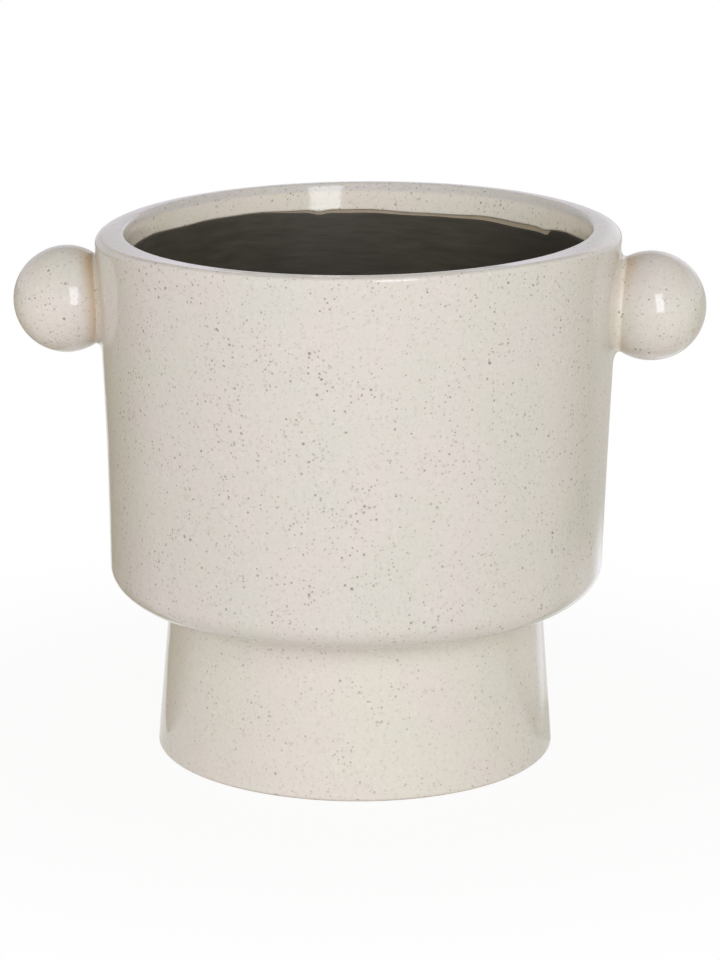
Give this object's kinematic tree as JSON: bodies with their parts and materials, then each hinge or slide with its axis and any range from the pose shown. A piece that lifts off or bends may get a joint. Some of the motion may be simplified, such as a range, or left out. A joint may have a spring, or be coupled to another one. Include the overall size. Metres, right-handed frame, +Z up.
{
  "type": "cachepot",
  "caption": "Footed stoneware cachepot: thick-rimmed upright bowl with a dark coated inside, flared hollow foot, and ball knobs set in swept collars at opposite sides.",
  "frame": {"origin": "centre of the foot's base ring, in the plane that the pot stands on", "axes": "+Z up along the pot's own axis; the two knobs lie along X, so X is the longest extent; the picture looks along +Y"},
  "size_m": [0.3302, 0.25, 0.255],
  "materials": {
    "speckled_glaze": "gloss cream glaze with fine brown specks",
    "dark_coating": "semi-matt dark brushed coating"
  },
  "bodies": {
    "root": {"bowl": "speckled_glaze", "pedestal_foot": "speckled_glaze", "knob_left": "speckled_glaze", "knob_right": "speckled_glaze", "knob_collar_left": "speckled_glaze", "knob_collar_right": "speckled_glaze", "inner_coating": "dark_coating"}
  },
  "joints": []
}
